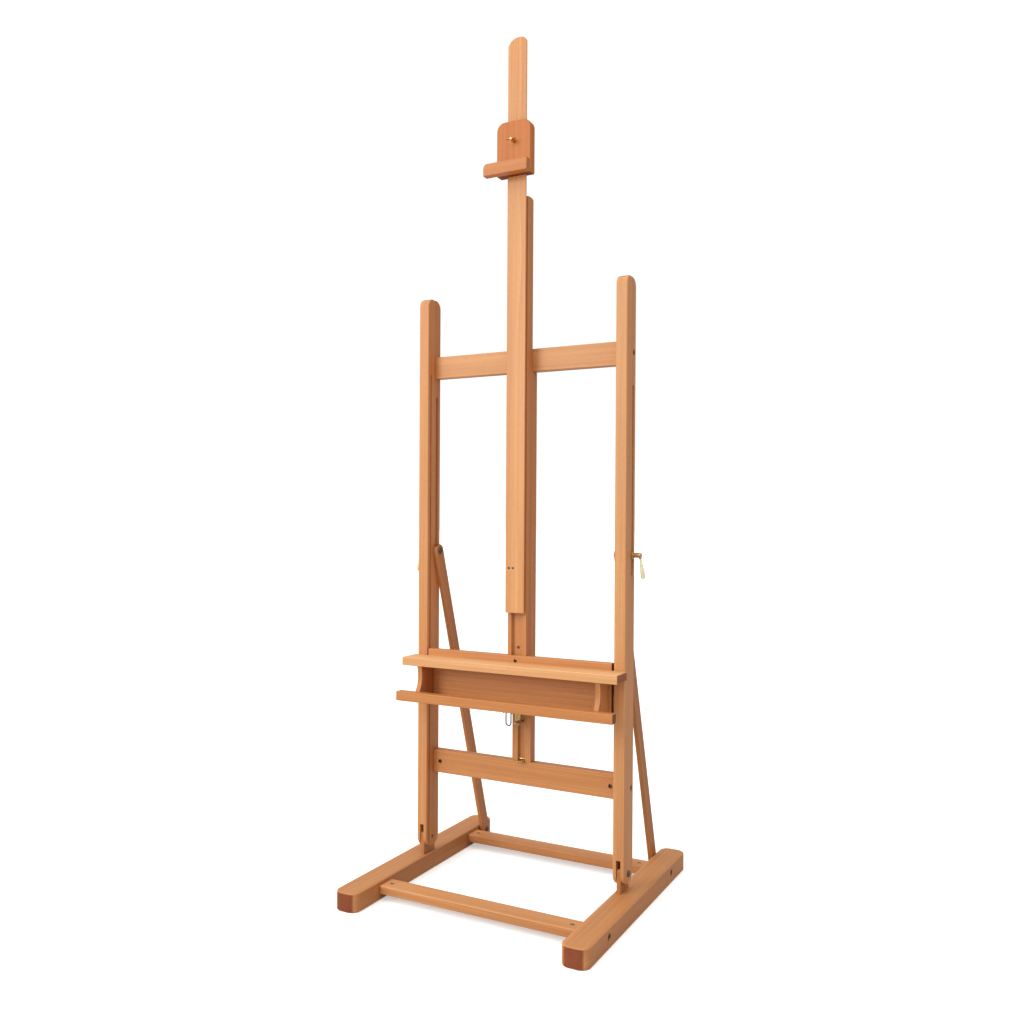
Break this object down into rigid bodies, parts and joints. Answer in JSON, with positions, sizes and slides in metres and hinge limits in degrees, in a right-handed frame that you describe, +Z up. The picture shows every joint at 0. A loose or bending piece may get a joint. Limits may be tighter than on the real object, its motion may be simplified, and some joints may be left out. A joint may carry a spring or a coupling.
{
  "type": "artist easel",
  "caption": "Wooden H-frame studio easel with a sliding centre column and mast, a canvas ledge over a paint tray, a sliding top canvas holder and rear tilt struts.",
  "frame": {"origin": "on the floor, in the middle of the base", "axes": "+Z up, front towards -Y, +X to the viewer's right when facing the easel"},
  "size_m": [0.62, 0.63, 2.007],
  "materials": {
    "beech": "oiled satin beech",
    "brass": "satin, slightly dulled",
    "steel": "bronzed zinc plating",
    "horn": "cream, semi-gloss"
  },
  "bodies": {
    "base": {"runner_left": "beech", "runner_right": "beech", "crossbar_front": "beech", "crossbar_rear": "beech", "tongue_left": "beech", "tongue_right": "beech", "crossbar_bolt_front_left": "steel", "crossbar_bolt_front_right": "steel", "crossbar_bolt_rear_left": "steel", "crossbar_bolt_rear_right": "steel", "crossbar_nut_front_left": "steel", "crossbar_nut_front_right": "steel", "crossbar_nut_rear_left": "steel", "crossbar_nut_rear_right": "steel", "post_pivot_bolt_left": "steel", "post_pivot_bolt_right": "steel", "strut_foot_bolt_left": "steel", "strut_foot_bolt_right": "steel"},
    "frame": {"post_left": "beech", "post_right": "beech", "lower_rail": "beech", "upper_rail": "beech", "centre_stile": "beech", "column_stop_angle": "brass", "lower_rail_bolt_left": "steel", "lower_rail_bolt_right": "steel", "upper_rail_bolt_left": "steel", "upper_rail_bolt_right": "steel", "lower_rail_nut_left": "steel", "lower_rail_nut_right": "steel"},
    "strut_left": {"strut_left": "beech", "strut_head_bolt_left": "steel"},
    "clamp_left": {"clamp_shank_left": "steel"},
    "clamp_handle_left": {"clamp_nut_left": "brass", "clamp_lever_left": "horn"},
    "strut_right": {"strut_right": "beech", "strut_head_bolt_right": "steel"},
    "clamp_right": {"clamp_shank_right": "steel"},
    "clamp_handle_right": {"clamp_nut_right": "brass", "clamp_lever_right": "horn"},
    "column": {"column": "beech", "column_floor_screw": "steel", "column_latch_plate": "brass"},
    "latch_knob": {"column_latch_knob": "brass"},
    "mast": {"mast": "beech", "mast_screw_left": "steel", "mast_screw_right": "steel"},
    "tray": {"canvas_ledge": "beech", "slider_board": "beech", "tray_floor": "beech", "tray_lip": "beech", "tray_cheek_left": "beech", "tray_cheek_right": "beech", "board_screw": "steel", "bail_bracket": "brass"},
    "bail": {"tray_bail": "steel"},
    "top_holder": {"top_holder_block": "beech", "top_holder_lip": "beech"},
    "holder_screw": {"holder_thumb_screw": "brass"}
  },
  "joints": [
    {"name": "frame_tilt", "type": "hinge", "parent": "base", "child": "frame", "pos_m": [0, 0, 0.083], "axis": [-1, 0, 0], "range_deg": [-5, 90]},
    {"name": "strut_fold_left", "type": "hinge", "parent": "base", "child": "strut_left", "pos_m": [-0.2417, 0.258, 0.027], "axis": [-1, 0, 0], "range_deg": [-5.9, 104.6]},
    {"name": "clamp_slide_left", "type": "slide", "parent": "frame", "child": "clamp_left", "axis": [0, 0, 1], "range_m": [-0.0196, 0.3512]},
    {"name": "clamp_turn_left", "type": "hinge", "parent": "clamp_left", "child": "clamp_handle_left", "pos_m": [-0.285, 0.012, 0.8], "axis": [1, 0, 0], "range_deg": [-170, 170]},
    {"name": "strut_fold_right", "type": "hinge", "parent": "base", "child": "strut_right", "pos_m": [0.2417, 0.258, 0.027], "axis": [-1, 0, 0], "range_deg": [-5.9, 104.6]},
    {"name": "clamp_slide_right", "type": "slide", "parent": "frame", "child": "clamp_right", "axis": [0, 0, 1], "range_m": [-0.0196, 0.3512]},
    {"name": "clamp_turn_right", "type": "hinge", "parent": "clamp_right", "child": "clamp_handle_right", "pos_m": [0.285, 0.012, 0.8], "axis": [1, 0, 0], "range_deg": [-170, 170]},
    {"name": "column_slide", "type": "slide", "parent": "frame", "child": "column", "axis": [0, 0, 1], "range_m": [-0.085, 0.66]},
    {"name": "latch_knob_turn", "type": "hinge", "parent": "column", "child": "latch_knob", "pos_m": [0, -0.0135, 0.397], "axis": [0, 1, 0], "range_deg": [-180, 180]},
    {"name": "mast_slide", "type": "slide", "parent": "column", "child": "mast", "axis": [0, 0, 1], "range_m": [-0.078, 0.853]},
    {"name": "tray_slide", "type": "slide", "parent": "column", "child": "tray", "axis": [0, 0, 1], "range_m": [0, 0.085]},
    {"name": "bail_swing", "type": "hinge", "parent": "tray", "child": "bail", "pos_m": [0, -0.062, 0.433], "axis": [1, 0, 0], "range_deg": [-60, 60]},
    {"name": "top_holder_slide", "type": "slide", "parent": "mast", "child": "top_holder", "axis": [0, 0, 1], "range_m": [-0.89, 0.19]},
    {"name": "holder_screw_turn", "type": "hinge", "parent": "top_holder", "child": "holder_screw", "pos_m": [0, -0.05, 1.76], "axis": [0, 1, 0], "range_deg": [-180, 180]}
  ],
  "couplings": [
    {"joint": "strut_fold_left", "follows": "frame_tilt", "ratio": 1.1616},
    {"joint": "clamp_slide_left", "follows": "frame_tilt", "m_per_rad": 0.22347},
    {"joint": "strut_fold_right", "follows": "frame_tilt", "ratio": 1.1616},
    {"joint": "clamp_slide_right", "follows": "frame_tilt", "m_per_rad": 0.22347}
  ]
}
